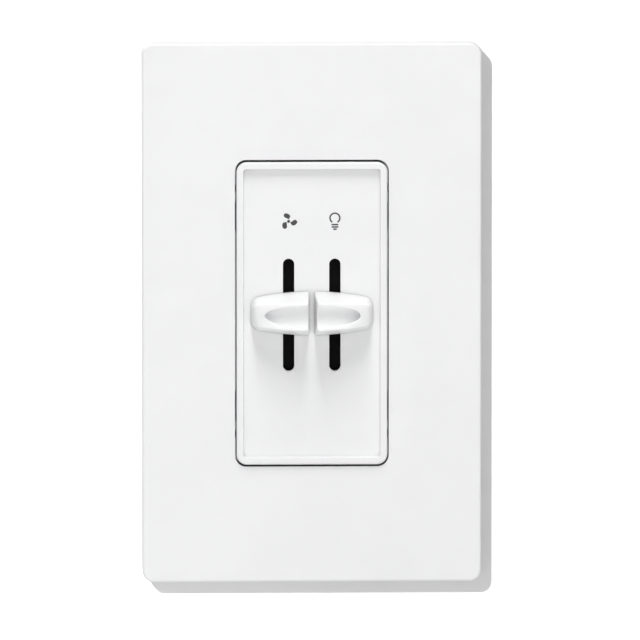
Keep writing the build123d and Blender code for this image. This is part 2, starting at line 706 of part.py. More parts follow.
def fan_speed_contacts(side):
    """Common rail and one pad each for off, low, medium and high."""
    x = side * SLIDER_OFFSET
    pitch = TRACK_LENGTH / FAN_POSITIONS
    bottom = SLOT_HEIGHT_OFFSET - TRACK_LENGTH / 2
    pads = [track(x + TRACK_OFFSET, bottom + pitch * (i + 0.5), pitch - PAD_SPACE)
            for i in range(FAN_POSITIONS)]
    return [track(x - TRACK_OFFSET, SLOT_HEIGHT_OFFSET, TRACK_LENGTH)] + pads


def channel_end():
    """Height of the inner face at the lower end of a slide unit's channel."""
    return SLOT_HEIGHT_OFFSET - UNIT_LENGTH / 2 + UNIT_WALL


def light_switch_contact(side):
    """Fixed contact of the dimmer's off switch, at the lower end of its channel."""
    x = side * SLIDER_OFFSET
    z = channel_end() + CONTACT_FROM_END
    half_width = CONTACT_WIDTH / 2
    return block((x - half_width, x + half_width), (CONTACT_FRONT, TRACK_FRONT), (z, z + CONTACT_THICK))


def light_switch_leaf(side):
    """Spring leaf that the carriage presses on as the dimmer slides to off."""
    x = side * SLIDER_OFFSET
    z = channel_end() + LEAF_FROM_END
    across = (x - LEAF_WIDTH / 2, x + LEAF_WIDTH / 2)
    leaf = block(across, (LEAF_FRONT, BASE_FRONT), (z, z + LEAF_THICK))
    foot = block(across, (BASE_FRONT - LEAF_THICK, BASE_FRONT), (z - LEAF_FOOT, z + LEAF_THICK))
    return leaf + foot


def insulating_sheet():
    """Thin fibre sheet between the yoke and the two steel channels."""
    width = 2 * (SLIDER_OFFSET + UNIT_WIDTH / 2 + INSULATION_MARGIN)
    outline = RectangleRounded(width, UNIT_LENGTH, SHEET_CORNER)
    for side in (-1, 1):
        outline -= at(upright_slot(YOKE_SLOT_LENGTH, YOKE_SLOT_WIDTH), side * SLIDER_OFFSET, 0)
    return slab(at(outline, 0, SLOT_HEIGHT_OFFSET), UNIT_FRONT, INSULATION_FRONT)


# ======== rear housing and terminals

def pocket_centres():
    """Side and height of each terminal pocket: line on the left, fan and light on the right."""
    return [(-1, 0.0), (1, -TERMINAL_Z), (1, TERMINAL_Z)]


def back_housing():
    """Deep box behind the yoke, with screw bosses, board ledges and three terminal pockets."""
    box = slab(RectangleRounded(HOUSING_WIDTH, HOUSING_HEIGHT, HOUSING_CORNER), HOUSING_DEPTH, 0)
    box = fillet(edges_at(box, HOUSING_DEPTH), HOUSING_EDGE)
    inner = RectangleRounded(HOUSING_WIDTH - 2 * HOUSING_WALL, HOUSING_HEIGHT - 2 * HOUSING_WALL,
                             HOUSING_INNER_CORNER)
    box -= slab(inner, HOUSING_FLOOR, 0)
    for side in (-1, 1):
        for end in (-1, 1):
            x, z = side * BOSS_X, end * BOSS_Z
            box += rod_y(x, z, BOSS_RADIUS, HOUSING_FLOOR, INSULATION_FRONT)
            box -= rod_y(x, z, BOSS_BORE_RADIUS, HOUSING_DEPTH, 0)
            box -= rod_y(x, z, SMALL_HEAD_RADIUS + HEAD_CLEARANCE, HOUSING_DEPTH, HOUSING_DEPTH - HEAD_SINK)
            box += board_ledge(side, end * LEDGE_Z)
    for side, z in pocket_centres():
        box += pocket_block(side, z)
    for side, z in pocket_centres():
        box -= pocket_space(side, z)
        box -= terminal_hole(side, z, CLEARANCE_RADIUS)
        box -= strap_leg(side, z, STRAP_LEG_GAP)
    gauge = at(SlotOverall(GAUGE_LENGTH, GAUGE_WIDTH), 0, GAUGE_Z)
    return box - slab(gauge, HOUSING_DEPTH, HOUSING_DEPTH - GAUGE_DEPTH)


def board_ledge(side, z):
    """Ledge on a side wall that the circuit board rests on."""
    wall_x = HOUSING_WIDTH / 2 - HOUSING_WALL
    return block(sorted((side * (wall_x - LEDGE_REACH), side * wall_x)), (BOARD_BACK, HOUSING_FLOOR),
                 (z - LEDGE_WIDTH / 2, z + LEDGE_WIDTH / 2))


def terminal_hole(side, z, radius):
    """Bore along X for a terminal's screw."""
    return rod_x(TERMINAL_Y, z, radius, *sorted(side * end for end in TERMINAL_HOLE_ENDS))


def pocket_block(side, z):
    """Solid that the pocket is cut from."""
    half = POCKET_HALF_HEIGHT + POCKET_WALL
    inner = POCKET_FLOOR - POCKET_WALL
    outer = HOUSING_WIDTH / 2 - HOUSING_WALL / 2
    return block(sorted((side * inner, side * outer)),
                 (POCKET_FRONT - POCKET_WALL, HOUSING_FLOOR),
                 (z - half, z + half))


def pocket_space(side, z):
    """Hollow for one terminal, open at the side and at the back for the wire."""
    return block(sorted((side * POCKET_FLOOR, side * HOUSING_WIDTH)),
                 (POCKET_FRONT, HOUSING_DEPTH + OVERSHOOT),
                 (z - POCKET_HALF_HEIGHT, z + POCKET_HALF_HEIGHT))


def strap_leg(side, z, gap):
    """Narrow leg of a terminal strap, from the board through the pocket's front wall."""
    x_limits = sorted((side * (POCKET_FLOOR - gap), side * (POCKET_FLOOR + STRAP_THICK + gap)))
    half_height = STRAP_LEG_HALF + gap
    return block(x_limits, (BOARD_BACK, STRAP_LEG_END), (z - half_height, z + half_height))


def terminal_straps():
    """Brass straps that join the board to the three wire terminals."""
    straps = []
    for side, z in pocket_centres():
        x_limits = sorted((side * POCKET_FLOOR, side * (POCKET_FLOOR + STRAP_THICK)))
        pad = block(x_limits, (POCKET_FRONT, STRAP_END), (z - STRAP_HALF_HEIGHT, z + STRAP_HALF_HEIGHT))
        straps.append(pad + strap_leg(side, z, 0) - terminal_hole(side, z, TAPPED_RADIUS))
    return straps


def terminal_clamps():
    """Pressure plates that the terminal screws pull down on the wires."""
    clamps = []
    for side, z in pocket_centres():
        near = POCKET_FLOOR + STRAP_THICK + CLAMP_LIFT
        x_limits = sorted((side * near, side * (near + CLAMP_THICK)))
        plate = block(x_limits, (TERMINAL_Y - CLAMP_FRONT_REACH, TERMINAL_Y + CLAMP_BACK_REACH),
                      (z - CLAMP_HALF_HEIGHT, z + CLAMP_HALF_HEIGHT))
        clamps.append(plate - terminal_hole(side, z, CLEARANCE_RADIUS))
    return clamps


def terminal_screws():
    """One 6-32 screw in each terminal, with its head towards the side of the housing."""
    head_seat = POCKET_FLOOR + STRAP_THICK + CLAMP_LIFT + CLAMP_THICK
    one = screw(TERMINAL_HEAD_RADIUS, TERMINAL_HEAD_HEIGHT, SCREW_RADIUS, TERMINAL_SCREW_LENGTH)
    return [Pos(side * head_seat, TERMINAL_Y, z) * Rot(Y=90 * side) * one
            for side, z in pocket_centres()]


def housing_screws():
    """Four long M3 screws from the back of the housing into the yoke."""
    seat = HOUSING_DEPTH - HEAD_SINK
    one = Rot(X=-90) * screw(SMALL_HEAD_RADIUS, SMALL_HEAD_HEIGHT, SMALL_SCREW_RADIUS, seat + YOKE_THICK)
    return [Pos(side * BOSS_X, seat, end * BOSS_Z) * one for side in (-1, 1) for end in (-1, 1)]


# ======== circuit board and components

def circuit_board():
    """Board that carries the electronics, notched round the housing's screw bosses."""
    outline = Rectangle(BOARD_WIDTH, BOARD_HEIGHT)
    for side in (-1, 1):
        for end in (-1, 1):
            outline -= at(Circle(BOSS_RADIUS + SLIDE_GAP), side * BOSS_X, end * BOSS_Z)
    return slab(outline, BOARD_BACK, BOARD_FRONT)


def choke_centre():
    """Where the middle of the choke's ring lies."""
    x, z = CHOKE_SPOT
    return Pos(x, PART_BASE + CORE_RADIUS + 2 * WIRE_RADIUS, z)


def choke_core():
    """Powdered-iron ring of the interference choke."""
    return choke_centre() * Rot(X=90) * Torus(CHOKE_RADIUS, CORE_RADIUS)


def choke_winding():
    """Turns of enamelled wire round the ring, each a closed loop just off its surface."""
    turn = Torus(CORE_RADIUS + WIRE_RADIUS + WIRE_GAP, WIRE_RADIUS)
    step = 360 / CHOKE_TURNS
    return [choke_centre() * Rot(Y=i * step) * Pos(CHOKE_RADIUS, 0, 0) * turn
            for i in range(CHOKE_TURNS)]


def box_component(x, z, width, depth, height):
    """Moulded case of a component that stands just off the board."""
    case = block((x - width / 2, x + width / 2), (PART_BASE, PART_BASE + depth),
                 (z - height / 2, z + height / 2))
    return fillet(case.edges().filter_by(Axis.Y), CASE_CORNER)


def noise_capacitor():
    """Film capacitor across the line that keeps radio noise off the mains."""
    return box_component(*NOISE_SPOT, *NOISE_SIZE)


def fan_capacitors():
    """The two film capacitors that set the fan's low and medium speeds."""
    return [box_component(*spot, *FAN_CAPACITOR_SIZE) for spot in FAN_CAPACITOR_SPOTS]


def firing_capacitor():
    """Small film capacitor that times the triac's firing."""
    return box_component(*FIRING_SPOT, *FIRING_SIZE)


def trim_pot():
    """Low-end trimmer, set at the factory."""
    return box_component(*TRIM_SPOT, *TRIM_SIZE)


def trim_pot_rotor():
    """Slotted rotor on the back of the trimmer."""
    x, z = TRIM_SPOT
    start = PART_BASE + TRIM_SIZE[1]
    end = start + ROTOR_THICK
    disc = rod_y(x, z, ROTOR_RADIUS, end, start)
    slot = at(Rectangle(*ROTOR_SLOT), x, z)
    return disc - slab(slot, end, end - ROTOR_THICK / 2)


def axial_body(x, z, radius, length):
    """Round body of a resistor or diac, lying along X just off the board."""
    body = rod_x(PART_BASE + radius, z, radius, x - length / 2, x + length / 2)
    return fillet(body.edges(), radius * AXIAL_ROUNDING)


def resistors():
    """Fixed resistors of the firing circuit and the capacitors' bleeders."""
    return [axial_body(x, z, RESISTOR_RADIUS, RESISTOR_LENGTH) for x, z in RESISTOR_SPOTS]


def diac():
    """Two-way trigger diode that fires the triac."""
    return axial_body(*DIAC_SPOT, DIAC_RADIUS, DIAC_LENGTH)


def axial_leads(x, z, radius, length):
    """The two wires of an axial part, each bent down to the board."""
    y = PART_BASE + radius
    leads = []
    for side in (-1, 1):
        end = x + side * (length / 2 + AXIAL_LEAD_REACH)
        out = rod_x(y, z, LEAD_RADIUS, *sorted((x + side * length / 2, end)))
        corner = Pos(end, y, z) * Sphere(LEAD_RADIUS)
        leads.append(out + corner + rod_y(end, z, LEAD_RADIUS, y, BOARD_BACK))
    return leads


def radial_leads(x, z, spread):
    """The two short pins under a component that stands on the board."""
    return [rod_y(x + side * spread / 2, z, LEAD_RADIUS, PART_BASE, BOARD_BACK) for side in (-1, 1)]


def component_leads():
    """Wires and pins of all the parts on the back of the board."""
    leads = []
    for x, z in RESISTOR_SPOTS:
        leads += axial_leads(x, z, RESISTOR_RADIUS, RESISTOR_LENGTH)
    leads += axial_leads(*DIAC_SPOT, DIAC_RADIUS, DIAC_LENGTH)
    for spot in (NOISE_SPOT, FIRING_SPOT, TRIM_SPOT):
        leads += radial_leads(*spot, PIN_SPREAD)
    for spot in FAN_CAPACITOR_SPOTS:
        leads += radial_leads(*spot, FAN_PIN_SPREAD)
    return leads


# ======== triac on the heat sink

def triac_insulator():
    """Heat-conducting pad between the triac's tab and the yoke."""
    outline = at(RectangleRounded(*PAD_SIZE, SHEET_CORNER), PAD_X, TRIAC_Z)
    outline -= at(Circle(SMALL_TAPPED_RADIUS), TRIAC_HOLE_X, TRIAC_Z)
    return slab(outline, PAD_THICK, 0)


def triac_tab():
    """Metal tab and leads of the triac. The leads bend back to the board."""
    tab_end = TRIAC_HOLE_X - TAB_REACH
    half_height = TRIAC_HALF_HEIGHT - TAB_INSET
    tab = block((tab_end, TRIAC_BODY[0]), (PAD_THICK, PAD_THICK + TAB_THICK),
                (TRIAC_Z - half_height, TRIAC_Z + half_height))
    tab -= rod_y(TRIAC_HOLE_X, TRIAC_Z, TAB_HOLE_RADIUS, PAD_THICK + TAB_THICK, PAD_THICK)
    lead_front = PAD_THICK + TRIAC_LEAD_LIFT
    bend_x = TRIAC_LEAD_END - TRIAC_LEAD_THICK
    pieces = [tab]
    for i in (-1, 0, 1):
        z = TRIAC_Z + TRIAC_LEAD_PITCH * i
        across = (z - TRIAC_LEAD_WIDTH / 2, z + TRIAC_LEAD_WIDTH / 2)
        out = block((TRIAC_BODY[1], TRIAC_LEAD_END), (lead_front, lead_front + TRIAC_LEAD_THICK), across)
        down = block((bend_x, TRIAC_LEAD_END), (lead_front, BOARD_FRONT), across)
        pieces.append(out + down)
    return pieces


def light_triac():
    """Moulded body of the triac that switches the light."""
    height = (TRIAC_Z - TRIAC_HALF_HEIGHT, TRIAC_Z + TRIAC_HALF_HEIGHT)
    body = block(TRIAC_BODY, (PAD_THICK, PAD_THICK + TRIAC_THICK), height)
    return chamfer(body.edges().filter_by(Axis.Z), TRIAC_CHAMFER)


def triac_screw():
    """Screw that clamps the triac's tab to the yoke."""
    seat = PAD_THICK + TAB_THICK
    length = seat + YOKE_THICK - TRIAC_SCREW_SHORT
    one = screw(SMALL_HEAD_RADIUS, SMALL_HEAD_HEIGHT, SMALL_SCREW_RADIUS, length)
    return Pos(TRIAC_HOLE_X, seat, TRIAC_Z) * Rot(X=-90) * one


# ======== write every node

def main():
    """Write one file for each kind of piece."""
    fan, light = -1, 1
    os.makedirs("parts", exist_ok=True)
    save("wallplate_cover", wallplate_cover())
    save("wallplate_adapter", wallplate_adapter())
    save("adapter_screws", *adapter_screws())
    save("yoke", yoke())
    save("mounting_screws", *mounting_screws())
    save("screw_retainers", *screw_retainers())
    save("ground_clamp", ground_clamp())
    save("ground_screw", ground_screw())
    save("front_bezel", front_bezel())
    save("insulating_sheet", insulating_sheet())
    save("back_housing", back_housing())
    save("housing_screws", *housing_screws())
    save("terminal_straps", *terminal_straps())
    save("terminal_clamps", *terminal_clamps())
    save("terminal_screws", *terminal_screws())
    save("circuit_board", circuit_board())
    save("choke_core", choke_core())
    save("choke_winding", *choke_winding())
    save("noise_capacitor", noise_capacitor())
    save("fan_capacitors", *fan_capacitors())
    save("firing_capacitor", firing_capacitor())
    save("trim_pot", trim_pot())
    save("trim_pot_rotor", trim_pot_rotor())
    save("resistors", *resistors())
    save("diac", diac())
    save("component_leads", *component_leads())
    save("triac_insulator", triac_insulator())
    save("triac_tab", *triac_tab())
    save("light_triac", light_triac())
    save("triac_screw", triac_screw())
    save("light_resistor_track", *light_resistor_track(light))
    save("fan_speed_contacts", *fan_speed_contacts(fan))
    save("light_switch_contact", light_switch_contact(light))
    save("light_switch_leaf", light_switch_leaf(light))
    for name, side in (("fan", fan), ("light", light)):
        save(f"{name}_unit_frame", slide_unit_frame(side))
        save(f"{name}_unit_base", slide_unit_base(side))
        save(f"{name}_knob", knob(side))
        save(f"{name}_shutter", shutter(side))
        save(f"{name}_carriage", carriage(side))
        save(f"{name}_wiper", wiper(side))


main()
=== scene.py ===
import math

import bmesh
import bpy
from mathutils import Matrix, Vector


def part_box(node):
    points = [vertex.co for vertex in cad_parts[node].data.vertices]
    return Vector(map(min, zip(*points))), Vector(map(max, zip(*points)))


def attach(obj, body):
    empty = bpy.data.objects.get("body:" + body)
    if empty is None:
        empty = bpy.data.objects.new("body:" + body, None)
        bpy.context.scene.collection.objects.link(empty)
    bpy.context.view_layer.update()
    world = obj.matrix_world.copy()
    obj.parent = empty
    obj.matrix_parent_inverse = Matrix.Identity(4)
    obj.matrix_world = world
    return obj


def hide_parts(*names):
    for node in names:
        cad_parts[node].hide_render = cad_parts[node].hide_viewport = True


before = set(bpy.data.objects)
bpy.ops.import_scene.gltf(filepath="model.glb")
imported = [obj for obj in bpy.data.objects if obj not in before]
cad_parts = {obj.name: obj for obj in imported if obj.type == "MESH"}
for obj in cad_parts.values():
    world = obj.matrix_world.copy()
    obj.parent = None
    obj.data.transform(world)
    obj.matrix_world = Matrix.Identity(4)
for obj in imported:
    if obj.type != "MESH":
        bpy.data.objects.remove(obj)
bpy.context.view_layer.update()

# The looks of a two-slider wall control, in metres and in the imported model's frame.
# X is to the right, Y goes into the wall and Z is up. The wall plane is y = 0.

MM = 0.001
PLATE_LOW, PLATE_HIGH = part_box("wallplate_cover")
BEZEL_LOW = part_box("front_bezel")[0]
SCREWS_LOW, SCREWS_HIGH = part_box("mounting_screws")
YOKE_LOW, YOKE_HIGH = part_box("yoke")

# ---- camera: a long lens a little above and to the left of the plate's middle
CAMERA_ELEVATION = math.radians(5.6)
CAMERA_AZIMUTH = math.radians(-1.8)
CAMERA_DISTANCE = 2.6
FRAME_WIDTH = 141.0 * MM
SENSOR_WIDTH = 36.0
CAMERA_CLIP_END = 20.0
AIM_RIGHT = 1.80 * MM
AIM_DOWN = 1.49 * MM

# ---- studio
WALL_GAP = 0.02 * MM
WALL_TONES = (0.79, 0.81)
WALL_ROUGHNESS = (0.85, 0.95)
FLOOR_DROP = 23 * MM
FLOOR_TONES = (0.69, 0.73)
FLOOR_ROUGHNESS = (0.70, 0.80)
STAGE_SIZE = 6.0
AMBIENT = 0.38
SIDE_AMBIENT = 0.40
KEY_ELEVATION = math.radians(60)
KEY_DISTANCE = 1.6
KEY_WIDTH = 0.35
KEY_HEIGHT = 0.90
KEY_POWER = 15.6
FRONT_POWER = 7.5
FRONT_SIZE = 0.25
FRONT_DISTANCE = 2.4
FRONT_ELEVATION = math.radians(9)
REAR_POWER = 14.0
REAR_SIZE = 0.95
REAR_PLACE = (-0.7, 1.0, 0.9)
WALL_LAMP_PLACE = (-0.95, -2.6, 1.18)
WALL_LAMP_POWER = 370.0
WALL_LAMP_RADIUS = 60 * MM
WALL_FILL_POWER = 14.0
WALL_FILL_SIZE = 3.0
WALL_FILL_DISTANCE = 1.5

# ---- small parts that the CAD model keeps plain or leaves out
THREAD_PITCH = 25.4 / 32 * MM
THREAD_RADIUS = 1.75 * MM
THREAD_DEPTH = 0.42 * MM
THREAD_SIDES = 40
THREAD_STEPS = 8
THREAD_LEAD_IN = 1.0 * MM
THREAD_LEAD_IN_SLOPE = 0.5
THREAD_FLANK_SLOPE = 1.15
THREAD_ROOT_FLAT = 0.05
SHARP_ANGLE = math.radians(35)
SCREW_HEAD_RADIUS = 3.4 * MM
SCREW_NECK_RADIUS = 1.5 * MM
SCREW_NECK_LENGTH = 0.4 * MM
SCREW_CUT_OFFSET = 0.001 * MM  # keeps the cut off the heads' flat undersides
SCREW_SEAT_Y = YOKE_LOW[1] - SCREW_CUT_OFFSET
THREAD_START_Y = YOKE_HIGH[1] + SCREW_NECK_LENGTH
THREAD_END_Y = SCREWS_HIGH[1]
RECESS_DEPTH = 1.4 * MM
INK_THICKNESS = 0.02 * MM
LABEL_Z = 20.3 * MM
LABEL_HEIGHT = 3.9 * MM
SLIDER_X = 5.1 * MM

# ---- the signs above the slots: lengths as shares of half a sign's height, angles in degrees
BLADES = 3
BLADE_ROOT = 0.20
BLADE_TWIST = 26
BLADE_HALF_WIDTH = 30
BLADE_FULLNESS = 0.8
BLADE_STEPS = 20
HUB_RADIUS = 0.17
HUB_SIDES = 24
BULB_RADIUS = 0.64
BULB_LIFT = 0.36
BULB_START = -58
BULB_END = 238
BULB_LINE = 0.17
CAP_BARS = ((0.38, 0.80), (0.65, 0.80), (0.90, 0.44))
BAR_END_STEPS = 8

# ---- inside the materials
MILKY_REACH = 2.5 * MM
TRACK_SPACING = 6.0 * MM
TRACK_WIDTH = 0.09  # as a share of the spacing


# ======== materials

class Look:
    """A Principled material under construction. Sizes given to it are in millimetres."""

    def __init__(self, name, **constants):
        self.material = bpy.data.materials.new(name)
        self.material.use_nodes = True
        self.tree = self.material.node_tree
        self.tree.nodes.clear()
        self.output = self.add("ShaderNodeOutputMaterial")
        self.shader = self.add("ShaderNodeBsdfPrincipled")
        self.link(self.shader.outputs["BSDF"], self.output.inputs["Surface"])
        self.position = self.add("ShaderNodeTexCoord").outputs["Object"]
        self.normal = None
        for socket, value in constants.items():
            self.shader.inputs[socket.replace("_", " ")].default_value = value

    def add(self, kind, **settings):
        """A new node with its settings."""
        node = self.tree.nodes.new(kind)
        for name, value in settings.items():
            setattr(node, name, value)
        return node

    def link(self, source, target):
        """Join two sockets."""
        self.tree.links.new(source, target)

    def turned(self, stretch, angle=0.0):
        """Object position turned about Y by an angle, then scaled along each axis."""
        mapping = self.add("ShaderNodeMapping")
        mapping.inputs["Rotation"].default_value = (0, angle, 0)
        mapping.inputs["Scale"].default_value = stretch
        self.link(self.position, mapping.inputs["Vector"])
        return mapping.outputs["Vector"]

    def noise(self, size, detail=3.0, stretch=(1, 1, 1), angle=0.0):
        """Soft noise with features of about this size."""
        node = self.add("ShaderNodeTexNoise")
        node.inputs["Scale"].default_value = 1 / (size * MM)
        node.inputs["Detail"].default_value = detail
        self.link(self.turned(stretch, angle), node.inputs["Vector"])
        return node.outputs["Fac"]

    def remap(self, source, low, high, from_low=0.35, from_high=0.65):
        """A value stretched from one range to another, and held within it."""
        node = self.add("ShaderNodeMapRange")
        self.link(source, node.inputs["Value"])
        limits = {"From Min": from_low, "From Max": from_high, "To Min": low, "To Max": high}
        for name, value in limits.items():
            node.inputs[name].default_value = value
        return node.outputs["Result"]

    def math(self, operation, first, second):
        """Two values, or a value and a number, put together."""
        node = self.add("ShaderNodeMath", operation=operation)
        for socket, value in zip(node.inputs, (first, second)):
            if isinstance(value, (int, float)):
                socket.default_value = value
            else:
                self.link(value, socket)
        return node.outputs["Value"]

    def mix(self, factor, first, second):
        """A colour between two. Each may be a tuple or a socket."""
        node = self.add("ShaderNodeMix", data_type="RGBA")
        self.link(factor, node.inputs["Factor"])
        colour_inputs = [socket for socket in node.inputs if socket.type == "RGBA"]
        for socket, value in zip(colour_inputs, (first, second)):
            if isinstance(value, tuple):
                socket.default_value = (*value, 1)
            else:
                self.link(value, socket)
        return [socket for socket in node.outputs if socket.type == "RGBA"][0]

    def hairlines(self, size, angle, amount):
        """Faint straight scratches at one angle, here and there, as a value from 0 to amount."""
        streaks = self.noise(size, detail=1.0, stretch=(1, 1, 0.02), angle=angle)
        scratches = self.remap(streaks, 0, amount, from_low=0.70, from_high=0.74)
        patches = self.remap(self.noise(size * 30, detail=1.0), 0, 1, from_low=0.5, from_high=0.7)
        return self.math("MULTIPLY", scratches, patches)

    def corners(self, distance):
        """1 in the open, falling towards 0 in corners and gaps narrower than this distance."""
        node = self.add("ShaderNodeAmbientOcclusion", samples=6)
        node.inputs["Distance"].default_value = distance * MM
        return node.outputs["AO"]

    def bump(self, height, depth):
        """Surface relief of this depth, on top of any relief added before."""
        node = self.add("ShaderNodeBump")
        node.inputs["Distance"].default_value = depth * MM
        self.link(height, node.inputs["Height"])
        if self.normal:
            self.link(self.normal, node.inputs["Normal"])
        self.normal = node.outputs["Normal"]

    def done(self, colour, roughness):
        """Wire up the last sockets and hand over the material."""
        self.link(colour, self.shader.inputs["Base Color"])
        self.link(roughness, self.shader.inputs["Roughness"])
        if self.normal:
            self.link(self.normal, self.shader.inputs["Normal"])
        return self.material


def shade(colour, factor):
    """A colour made lighter or darker."""
    return tuple(min(1.0, channel * factor) for channel in colour)


def plastic(name, colour, roughness, grain=0.3, grain_depth=0.003, mottle=0.02, painted_gap_shade=0.0, wear=0.05,
            milky=0.0, shine=0.5):
    """Moulded plastic: cloudy tint, fine mould grain, slight waviness, hairline scratches.

    A milky plastic lets light wander through its outer millimetres. Painted shade darkens the colour in
    narrow gaps and corners.
    """
    look = Look(name, IOR=1.49, Subsurface_Weight=milky, Specular_IOR_Level=shine)
    look.shader.inputs["Subsurface Radius"].default_value = (1.0, 1.0, 1.0)
    look.shader.inputs["Subsurface Scale"].default_value = MILKY_REACH
    clouds = look.remap(look.noise(size=14.0, detail=4.0), 0, 1)
    tint = look.mix(clouds, shade(colour, 1 - mottle), colour)
    # Painted shade: where ambient occlusion finds narrow gaps and corners, the colour is darkened, a
    # little patchily.
    if painted_gap_shade:
        gap_shade_mask = look.remap(look.corners(distance=1.5), 1, 0, from_low=0.15, from_high=0.45)
        patches = look.remap(look.noise(size=2.5, detail=5.0), 0.8, 1)
        tint = look.mix(look.math("MULTIPLY", gap_shade_mask, patches), tint, shade(colour, 1 - painted_gap_shade))
    gloss = look.remap(look.noise(size=4.0, detail=6.0), roughness - wear, roughness + wear)
    for angle in (0.4, 1.3, 2.5):
        gloss = look.math("ADD", gloss, look.hairlines(size=0.25, angle=angle, amount=2 * wear))
    look.bump(look.noise(size=11.0, detail=1.0), depth=0.012)
    look.bump(look.noise(size=grain, detail=2.0), depth=grain_depth)
    return look.done(tint, gloss)


def metal(name, colour, roughness, brush=(1, 1, 1), scratch=0.08, tarnish=0.85):
    """Bare or plated metal: brushed or rolled streaks, tarnish clouds and scratches."""
    look = Look(name, Metallic=1.0)
    streaks = look.noise(size=0.35, detail=3.0, stretch=brush)
    clouds = look.noise(size=6.0, detail=5.0)
    tint = look.mix(look.remap(clouds, 0, 1), shade(colour, tarnish), colour)
    gloss = look.remap(streaks, roughness - scratch, roughness + scratch)
    dulled = look.remap(clouds, 0, 0.12, from_low=0.5, from_high=0.75)
    gloss = look.math("ADD", gloss, dulled)
    for angle in (0.8, 2.2):
        gloss = look.math("ADD", gloss, look.hairlines(size=0.3, angle=angle, amount=scratch))
    look.bump(streaks, depth=0.006)
    look.bump(look.noise(size=0.12, detail=2.0), depth=0.001)
    return look.done(tint, gloss)


def painted(name, colour, metal_colour, roughness):
    """Dyed plating on steel that has rubbed off in spots."""
    look = Look(name, Metallic=0.75)
    worn = look.remap(look.noise(size=0.9, detail=6.0), 0, 1, from_low=0.60, from_high=0.68)
    tint = look.mix(worn, colour, metal_colour)
    gloss = look.remap(look.noise(size=0.5, detail=4.0), roughness - 0.08, roughness + 0.1)
    look.bump(look.noise(size=0.3, detail=3.0), depth=0.006)
    return look.done(tint, gloss)


def fibre(name, colour, roughness):
    """Pressed fibre board: long flecks in two directions and a felted surface."""
    look = Look(name)
    flecks = look.noise(size=0.4, detail=3.0, stretch=(1, 1, 0.12), angle=0.3)
    crossed = look.noise(size=0.4, detail=3.0, stretch=(0.12, 1, 1), angle=0.9)
    felt = look.math("MULTIPLY", flecks, crossed)
    pale = look.remap(felt, 0, 1, from_low=0.15, from_high=0.4)
    tint = look.mix(pale, shade(colour, 0.6), shade(colour, 1.25))
    look.bump(felt, depth=0.05)
    return look.done(tint, look.remap(flecks, roughness - 0.1, roughness + 0.1))


def circuit_laminate(name, mask_colour):
    """Solder mask over copper: lighter raised tracks on a slightly woven board."""
    look = Look(name, IOR=1.5)
    bricks = look.add("ShaderNodeTexBrick", offset=0.37, squash=0.6)
    bricks.inputs["Scale"].default_value = 1 / TRACK_SPACING
    bricks.inputs["Mortar Size"].default_value = TRACK_WIDTH
    look.link(look.turned((1, 1, 1)), bricks.inputs["Vector"])
    tracks = bricks.outputs["Fac"]
    tint = look.mix(tracks, mask_colour, shade(mask_colour, 1.9))
    glass = look.noise(size=0.5, detail=1.0, stretch=(1, 1, 0.3))
    look.bump(tracks, depth=0.035)
    look.bump(glass, depth=0.008)
    return look.done(tint, look.remap(glass, 0.22, 0.40))


def ink(name, colour):
    """Pad-printed ink: slightly uneven cover and a soft sheen."""
    look = Look(name, IOR=1.5)
    cover = look.noise(size=0.12, detail=4.0)
    tint = look.mix(look.remap(cover, 0, 1), shade(colour, 0.8), shade(colour, 1.25))
    look.bump(cover, depth=0.004)
    return look.done(tint, look.remap(cover, 0.42, 0.60))


WHITE = (0.86, 0.862, 0.866)
STEEL = (0.66, 0.65, 0.62)
BRASS = (0.82, 0.62, 0.28)
DARK_GREY = (0.045, 0.046, 0.050)

